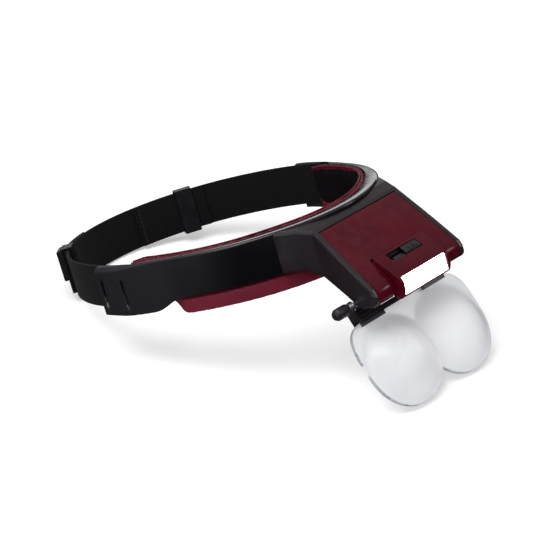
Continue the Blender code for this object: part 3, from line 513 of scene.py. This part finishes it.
def pad_section(degrees):
    """Section of the pad before it is puffed up, with its sides a little inside the finished pad."""
    side = abs(degrees)
    back, top, bottom, inner, skirt = pad_edges(side)
    under = -BAND_HEIGHT - 0.9
    roll = flange_edge(side) - 0.8
    bottom, inner, skirt = bottom + 0.5, inner + 0.6, skirt - 0.5
    corners = [(back, -FLANGE_THICK - 0.9), (roll, -FLANGE_THICK - 0.9), (roll, top), (inner, top),
               (inner - 0.3, (top + bottom) / 2), (inner, bottom), (skirt, bottom), (skirt, under),
               (back, under)]
    return rounded(corners, [0.4, 0.4, 1.2, 1.8, 8.0, 2.2, 2.2, 0.5, 0.4], 4)


def puff(piece, voxel, growth):
    """Fill the piece by cloth pressure, with no point moving further than the growth."""
    remesh = piece.modifiers.new("remesh", "REMESH")
    remesh.mode = "VOXEL"
    remesh.voxel_size = voxel
    bake(piece)
    still = [v.co.copy() for v in piece.data.vertices]
    cloth = piece.modifiers.new("cloth", "CLOTH")
    cloth.settings.use_pressure = True
    cloth.settings.uniform_pressure_force = PUFF_PRESSURE
    cloth.settings.effector_weights.gravity = 0.0
    cloth.settings.quality = 5
    scene = bpy.context.scene
    for step in range(1, PUFF_STEPS + 1):
        scene.frame_set(step)
    bake(piece)
    scene.frame_set(1)
    for vertex, start in zip(piece.data.vertices, still):
        move = vertex.co - start
        if move.length > growth:
            vertex.co = start + move * (growth / move.length)
    finer = piece.modifiers.new("finer", "SUBSURF")
    finer.levels = finer.render_levels = 1
    bake(piece)
    piece.data.shade_smooth()


def bake(piece):
    """Turn the piece's modifiers into its mesh."""
    graph = bpy.context.evaluated_depsgraph_get()
    ready = bpy.data.meshes.new_from_object(piece.evaluated_get(graph))
    piece.modifiers.clear()
    piece.data = ready


def line_inner(pad, lining):
    """The face against the head gets its own lining."""
    pad.data.materials.append(lining)
    back = RING.inverted()
    for face in pad.data.polygons:
        x, y, _ = (back @ face.center) / MM
        degrees = math.degrees(math.atan2(x / (RING_HALF_WIDTH - 9.0), -y / (RING_FRONT - 9.0)))
        spot, normal = Vector(ring_point(degrees)), Vector(ring_point(degrees, 1.0))
        offset = (Vector((x, y)) - spot).dot(normal - spot)
        if offset < pad_edges(abs(degrees))[3] + 1.0:
            face.material_index = 1


def tube_section(offset, z, radius, sides=8):
    return lambda degrees: [(offset(abs(degrees)) + radius * math.cos(math.tau * i / sides),
                             z(abs(degrees)) + radius * math.sin(math.tau * i / sides)) for i in range(sides)]


def make_pad():
    """The forehead pad with its lining, piping and seam."""
    leather = leatherette("pad_leatherette", (0.125, 0.0060, 0.020), 0.42)
    lining = leatherette("pad_lining", (0.0030, 0.0014, 0.0028), 0.62)
    pad = sweep("pad_cushion", -PAD_END, PAD_END, pad_section, leather, "headband", 1.2, 50.0)
    puff(pad, PUFF_VOXEL, PUFF_GROWTH)
    line_inner(pad, lining)
    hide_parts("forehead_pad")
    edges = {"pad_piping_top": lambda side: pad_edges(side)[1] - 0.55,
             "pad_piping_bottom": lambda side: pad_edges(side)[2] + 0.75}
    for name, height in edges.items():
        tube = tube_section(lambda side: pad_edges(side)[3] + 1.1, height, PIPING_RADIUS)
        piping = sweep(name, -PAD_END + 1.0, PAD_END - 1.0, tube, leather, "headband", 1.2)
    seam = sweep("pad_seam", -PAD_END + 1.5, PAD_END - 1.5,
                 tube_section(lambda side: 0.45 * flange_edge(side) + 0.55 * pad_edges(side)[3],
                              lambda side: pad_edges(side)[1] - 0.35, 0.28, 6), lining, "headband", 1.2)


def strap_section(outer, inner, top, height):
    bottom = top - height
    return lambda degrees: rounded([(outer, top), (inner, top), (inner, bottom), (outer, bottom)], 0.5, 3)


def make_strap():
    """The rear strap and its two free ends."""
    woven = webbing()
    half = STRAP_THICK / 2.0
    strap = sweep("strap_webbing", STRAP_START, 360.0 - STRAP_START,
                  strap_section(half, -half, STRAP_TOP, STRAP_HEIGHT), woven, "headband", 1.5)
    tab_heights = (SLOT_BOTTOM + 0.5, SLOT_TOP - 0.5)
    tabs = [block(f"tab_{side}", side * ARM_SLOTS[0], (-0.5, 3.6), (-0.55, 0.55), tab_heights, woven)
            for side in (-1, 1)]
    carve(strap, [], tabs)
    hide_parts("rear_strap")
    near, far = half + TAIL_GAP, half + TAIL_GAP + TAIL_THICK
    left = sweep("tail_webbing_left", SLIDER_AT - 8.0, SLIDER_AT + TAIL_SPAN,
                 strap_section(-near, -far, STRAP_TOP + 0.1, STRAP_HEIGHT), woven, "headband")
    right = sweep("tail_webbing_right", -SLIDER_AT + 4.0, -SLIDER_AT - TAIL_SPAN,
                  strap_section(far, near, STRAP_TOP + 0.1, STRAP_HEIGHT), woven, "headband")
    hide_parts("strap_tail_left")
    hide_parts("strap_tail_right")


# ---------------------------------------------------------------- lens

def make_stitches():
    """Rows of thread at the ends of the webbing."""
    made = thread()
    face = STRAP_THICK / 2.0
    free = face + TAIL_GAP + TAIL_THICK
    rows = [(-(SLIDER_AT + TAIL_SPAN) + 1.6, free, 1), (SLIDER_AT + TAIL_SPAN - 1.6, -free, -1)]
    rows += [(side * (ARM_END + shift), face, 1) for side in (-1, 1) for shift in (2.4, 3.6)]
    verts, faces = [], []
    for degrees, out, way in rows:
        spot, normal = Vector((*ring_point(degrees), 0.0)), Vector((*ring_point(degrees, 1.0), 0.0))
        normal -= spot
        along = Vector((-normal.y, normal.x, 0.0))
        for i in range(9):
            middle = spot + normal * (out - 0.05 * way) + Vector((0.0, 0.0, STRAP_TOP - 2.4 - 2.45 * i))
            base = len(verts)
            for rise in (0.0, 0.28 * way):
                verts += [middle + normal * rise + along * a + Vector((0.0, 0.0, z))
                          for a, z in ((-0.25, -0.8), (0.25, -0.8), (0.25, 0.8), (-0.25, 0.8))]
            faces += [tuple(base + k for k in side) for side in
                      ((0, 1, 2, 3), (4, 5, 6, 7), (0, 1, 5, 4), (1, 2, 6, 5), (2, 3, 7, 6), (3, 0, 4, 7))]
    stitches = build("strap_stitches", [tuple(v) for v in verts], faces, made, "headband")


def lens_point(x, down, forward):
    """A point of the lens plate in the headband's frame."""
    y = LENS_TOP[0] - math.sin(LENS_TILT) * down - math.cos(LENS_TILT) * forward
    z = LENS_TOP[1] - math.cos(LENS_TILT) * down + math.sin(LENS_TILT) * forward
    return x, y, z


def plate_outline(top, bottom, rear, front):
    """Outline of a block square to the lens plate, in (y, z)."""
    return [lens_point(0.0, down, forward)[1:] for down, forward in
            ((top, rear), (bottom, rear), (bottom, front), (top, front))]


def lobe_outline(turn):
    """Unit outline of a lobe: squarer at the top, round at the bottom."""
    c, s = math.cos(turn), math.sin(turn)
    power = 2.0 / (2.15 if s > 0 else 4.0)
    return math.copysign(abs(c) ** power, c), math.copysign(abs(s) ** power, s)


def dome(across, down):
    share = (across / LOBE_HALF) ** 2 + ((down - DOME_CENTRE) / (DOME_HEIGHT / 2.0)) ** 2
    return LENS_BULGE * max(0.0, 1.0 - share) ** 1.45


def make_lobe(name, side, material):
    """One lobe with a softly rounded rim."""
    rings, sides = 26, 112
    centre = LOBE_HEIGHT / 2.0
    loops = [(0.985, 0.0, False), (1.0, 0.35, False), (1.0, LENS_EDGE - 0.5, False), (0.99, LENS_EDGE, True)]
    loops += [(0.99 * (1.0 - i / rings), LENS_EDGE, True) for i in range(1, rings)]
    verts = []
    for radius, height, crown in loops:
        for j in range(sides):
            u, v = lobe_outline(math.tau * j / sides)
            across, down = u * LOBE_HALF * radius, centre + v * LOBE_HEIGHT / 2.0 * radius
            rise = height + (dome(across, down) if crown else 0.0)
            verts.append(lens_point(side * LENS_HALF_SPACING + across, down, rise))
    tip = len(verts)
    verts.append(lens_point(side * LENS_HALF_SPACING, centre, LENS_EDGE + dome(0.0, centre)))
    faces = [tuple(range(sides))]
    for i in range(len(loops) - 1):
        for j in range(sides):
            k = (j + 1) % sides
            faces.append((i * sides + j, i * sides + k, (i + 1) * sides + k, (i + 1) * sides + j))
    faces += [(tip - sides + j, tip - sides + (j + 1) % sides, tip) for j in range(sides)]
    return build(name, verts, faces, material, None, 50.0)


def make_lens():
    """The clear plate: two lobes, the web between their tops and the two tongues."""
    material = clear_lens()
    lens = make_lobe("lens_optics", -1, material)
    tongue = plate_outline(-TONGUE_RISE, 6.0, 0.05, LENS_EDGE - 0.45)
    tongues = [prism(f"tongue_{side}", tongue, side * TONGUE_START, side * TONGUE_HALF, material)
               for side in (-1, 1)]
    web = prism("web", plate_outline(0.1, WEB_HEIGHT, 0.05, LENS_EDGE - 0.05), -WEB_HALF, WEB_HALF, material)
    carve(lens, [], [make_lobe("left_lobe", 1, material), web, *tongues])
    lens.data.materials.append(lens_rim_shade())
    rear, front = (Vector(place(*lens_point(0.0, 0.0, depth))) for depth in (0.0, 1.0))
    forward = (front - rear).normalized()
    # Edge faces take the rim material, whose grey is painted shade for the dark line at the lens's edge.
    for face in lens.data.polygons:
        if abs(face.normal.dot(forward)) < 0.35 and face.area < 1.2e-5:
            face.material_index = 1
    lens.data.shade_smooth()
    lens.data.set_sharp_from_angle(angle=math.radians(40.0))
    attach(lens, "lens")
    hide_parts("lens_plate")


# ---------------------------------------------------------------- cover, lamp and switch

def on_slope(along, rise):
    y = SLOPE_ORIGIN[0] - math.cos(SLOPE) * along - math.sin(SLOPE) * rise
    z = SLOPE_ORIGIN[1] - math.sin(SLOPE) * along + math.cos(SLOPE) * rise
    return y, z


def make_cover(wine):
    """The burgundy cover with its two rounded noses."""
    top = FRAME_RISE - COVER_SEAT
    verts = []
    for rise in (top - COVER_THICK, top):
        for along, half in ((0.0, COVER_HALF_REAR), (COVER_LENGTH, COVER_HALF_FRONT)):
            verts += [(-half, *on_slope(along, rise)), (half, *on_slope(along, rise))]
    faces = [(0, 1, 3, 2), (4, 5, 7, 6), (0, 1, 5, 4), (2, 3, 7, 6), (0, 2, 6, 4), (1, 3, 7, 5)]
    cover = build("cover_panel", verts, faces, wine, "cover")
    outline = rounded(NOSE_CORNERS, [0.5, 3.0, 3.0, 1.4, 0.4, 0.6, 0.5], 7)
    near, far = LAMP_GAP + 0.1, COVER_HALF_FRONT - 0.2
    noses = [prism(f"nose_{side}", outline, *sorted((side * near, side * far)), wine) for side in (-1, 1)]
    gap = [on_slope(28.8, -10.0), on_slope(60.0, -10.0), on_slope(60.0, 12.0), on_slope(28.8, 12.0)]
    carve(cover, [prism("lamp_space", gap, -LAMP_GAP - 0.1, LAMP_GAP + 0.1, wine)], noses)
    soften(cover, 0.8, 4, 50.0)
    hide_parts("battery_cover")


def pod_frame():
    """Along and outward directions of the pod's top face."""
    a, b = Vector(LAMP_CORNERS[0]), Vector(LAMP_CORNERS[1])
    along = (b - a).normalized()
    return along, Vector((along.y, -along.x))


def pod_box(name, size, rise, material, shift=0.0, body=None, centre=SWITCH_CENTRE):
    """A box square to the pod's top face."""
    along, normal = pod_frame()
    outline = [tuple(Vector(centre) + along * size[1] * a + normal * rise[n])
               for a, n in ((-0.5, 0), (0.5, 0), (0.5, 1), (-0.5, 1))]
    return prism(name, outline, shift - size[0] / 2.0, shift + size[0] / 2.0, material, body)


def make_lamp(wine, black_and_recess_shade):
    """The rounded lamp pod with its window opening and the switch's recess."""
    outline = rounded(LAMP_CORNERS, [0.8, 4.0, 3.0, 2.0, 1.0, 1.0, 1.0, 1.0, 1.0], 7)
    pod = prism("pod_shell", outline, -LAMP_HALF, LAMP_HALF, wine, "lamp")
    middle = Vector((sum(p[0] for p in outline), sum(p[1] for p in outline))) / len(outline)
    hollow = []
    for point in outline:
        way = Vector(point) - middle
        hollow.append(tuple(middle + way * (1.0 - LAMP_WALL / way.length)))
    inside = prism("inside", hollow, -LAMP_HALF + LAMP_WALL, LAMP_HALF - LAMP_WALL, wine)
    mouth = prism("mouth", [(-150.0, WINDOW_TOP), (-150.0, WINDOW_BOTTOM), (-141.5, WINDOW_BOTTOM),
                            (-141.5, WINDOW_TOP)], -LAMP_HALF + 2.4, LAMP_HALF - 2.4, wine)
    slot = pod_box("slot", SWITCH_SLOT, (-1.1, 3.0), wine)
    stem = pod_box("stem", (13.0, 2.6), (-6.0, 3.0), wine)
    soften(pod, 1.0, 4, 50.0)
    carve(pod, [inside, mouth, slot, stem])
    pod.data.shade_smooth()
    pod.data.set_sharp_from_angle(angle=math.radians(30.0))
    # The recess's floor and walls in the burgundy pod take the knob's black as painted shade.
    pod.data.materials.append(black_and_recess_shade)
    along, normal = pod_frame()
    back = RING.inverted()
    for face in pod.data.polygons:
        x, y, z = (back @ face.center) / MM
        rel = Vector((y, z)) - Vector(SWITCH_CENTRE)
        if abs(x) < 13.2 and abs(rel.dot(along)) < 3.4 and rel.dot(normal) < -0.05:
            face.material_index = 1
    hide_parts("lamp_shell")


def make_switch(black_and_recess_shade):
    """The slide switch's knob: a low carriage with a ribbed thumb ridge."""
    rest = SWITCH_SLOT[0] / 2.0 - SWITCH_KNOB[0] / 2.0 - 0.5
    knob = pod_box("switch_thumb", SWITCH_KNOB, (-0.8, 0.1), black_and_recess_shade, rest, "switch")
    ribs = [pod_box(f"rib_{i}", (1.1, 4.2), (-0.4, 1.15 - 0.12 * abs(i)), black_and_recess_shade, rest + 2.1 * i)
            for i in range(-2, 3)]
    carve(knob, [], ribs)
    soften(knob, 0.35, 3, 40.0)
    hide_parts("switch_knob")


# ---------------------------------------------------------------- carried-over CAD nodes

def dress_frame():
    """Materials of the CAD nodes that stay."""
    gloss = moulded("hood_black", (0.0125, 0.0085, 0.0115), 0.32, 0.40, 2.2, 900.0, 0.00002)
    satin = moulded("satin_black", (0.0120, 0.0090, 0.0120), 0.36, 0.42, 2.2, 900.0, 0.00003)
    keeper = moulded("keeper_black", (0.0040, 0.0038, 0.0060), 0.30, 0.35, 2.2, 900.0, 0.00003)
    wine = moulded("burgundy_shell", (0.070, 0.0016, 0.0080), 0.15, 0.13, 1.4, 900.0, 0.00001)
    # Black of the switch knob, also used as painted shade on the pod's recess faces.
    recess = moulded("black_knob_and_painted_recess_shade", (0.0050, 0.0045, 0.0050), 0.20, 0.45, 2.0, 900.0, 0.00002)
    make_cover(wine)
    make_lamp(wine, recess)
    make_switch(recess)
    steel = metal("zinc_steel", (0.60, 0.60, 0.62), 0.28)
    nickel = metal("nickel_contact", (0.72, 0.70, 0.66), 0.30)
    give("hood_frame", gloss)
    for node in ("strap_slider_left", "strap_slider_right"):
        give(node, keeper)
    for node in ("lens_holder", "tilt_knob", "switch_body"):
        give(node, satin)
    for node in ("hinge_shaft", "spring_washer", "shaft_nut", "hood_screw_left", "hood_screw_right",
                 "lamp_pin_left", "lamp_pin_right"):
        give(node, steel)
    for node in ("battery_spring_rear", "battery_spring_front", "contact_plate_left", "contact_plate_right"):
        give(node, nickel)
    give("lamp_reflector", metal("bright_reflector", (0.90, 0.90, 0.92), 0.10))
    give("lamp_window", lit_window([sum(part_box(node), Vector()) / 2.0 for node in ("led_left", "led_right")]))
    for node in ("led_left", "led_right"):
        give(node, glowing("led_white", (1.0, 0.98, 0.97), 24.0))
    cell = moulded("cell_sleeve", (0.10, 0.10, 0.11), 0.35)
    for node in ("battery_rear", "battery_front"):
        give(node, cell)
    give("circuit_board", moulded("solder_mask", (0.02, 0.16, 0.06), 0.45))


# ---------------------------------------------------------------- stage, light, camera

def make_stage():
    mesh = bpy.data.meshes.new("floor")
    mesh.from_pydata([(-4, -4, 0), (4, -4, 0), (4, 4, 0), (-4, 4, 0)], [], [(0, 1, 2, 3)])
    floor = bpy.data.objects.new("floor", mesh)
    bpy.context.scene.collection.objects.link(floor)
    shader = Shader("floor_paper", (0.93, 0.93, 0.935), 0.9, Specular_IOR_Level=0.0,
                    Emission_Color=(1.0, 1.0, 1.0, 1.0), Emission_Strength=0.25)
    shader.grain(40.0, 0.0002, 0.05)
    mesh.materials.append(shader.made)
    floor.location.z = -0.0004
    floor.visible_glossy = False


def make_world():
    """Soft light from above, dark below the horizon."""
    world = bpy.data.worlds.new("studio")
    world.use_nodes = True
    tree = world.node_tree
    sky = tree.nodes["Background"]
    source = tree.nodes.new("ShaderNodeTexCoord")
    split = tree.nodes.new("ShaderNodeSeparateXYZ")
    lift = tree.nodes.new("ShaderNodeMapRange")
    lift.interpolation_type = "SMOOTHSTEP"
    lift.inputs["From Min"].default_value = -0.05
    lift.inputs["From Max"].default_value = 0.9
    lift.inputs["To Min"].default_value = 0.03
    lift.inputs["To Max"].default_value = 0.62
    tree.links.new(source.outputs["Generated"], split.inputs["Vector"])
    tree.links.new(split.outputs["Z"], lift.inputs["Value"])
    tree.links.new(lift.outputs["Result"], sky.inputs["Strength"])
    sky.inputs["Color"].default_value = (1.0, 1.0, 1.0, 1.0)
    bpy.context.scene.world = world


def softbox(name, direction, distance, size, power, colour=(1.0, 1.0, 1.0)):
    """An area light aimed at the middle of the object."""
    data = bpy.data.lights.new(name, "AREA")
    data.shape = "RECTANGLE"
    data.size, data.size_y = size
    data.energy = power
    data.color = colour
    made = bpy.data.objects.new(name, data)
    bpy.context.scene.collection.objects.link(made)
    way = Vector(direction).normalized()
    aim = Vector((0.0, 0.0, 0.04))
    made.location = aim + way * distance
    made.rotation_euler = (-way).to_track_quat("-Z", "Y").to_euler()
    made.visible_camera = False
    return made


def make_lights():
    softbox("key", (-0.45, 0.1, 1.0), 1.5, (1.2, 1.0), 15.0)
    softbox("rear_strip", (0.68, 0.74, 0.05), 1.4, (1.5, 0.16), 1.2)
    softbox("front_glow", (0.68, -0.52, 0.50), 1.5, (0.30, 0.30), 1.6)
    softbox("side_fill", (-1.0, -0.35, 0.35), 1.8, (0.7, 0.5), 3.0)


def make_camera():
    """The viewpoint, given in the headband's frame."""
    data = bpy.data.cameras.new("camera")
    data.lens = 155.6
    data.sensor_width = 36.0
    data.clip_start, data.clip_end = 0.05, 20.0
    camera = bpy.data.objects.new("camera", data)
    bpy.context.scene.collection.objects.link(camera)
    spot, aim = place(-928.8, -985.0, 287.4), place(0.92, -30.3, -40.85)
    back = (spot - aim).normalized()
    right = Vector((0.0, 0.0, 1.0)).cross(back).normalized()
    top = back.cross(right)
    roll = math.radians(-1.06)
    cos, sin = math.cos(roll), math.sin(roll)
    right, top = right * cos + top * sin, top * cos - right * sin
    pose = Matrix((right, top, back)).transposed().to_4x4()
    pose.translation = spot
    camera.matrix_world = pose
    bpy.context.scene.camera = camera


bpy.context.scene.view_settings.view_transform = "Standard"
make_camera()
make_band()
make_pad()
make_strap()
make_stitches()
make_lens()
dress_frame()
make_stage()
make_world()
make_lights()
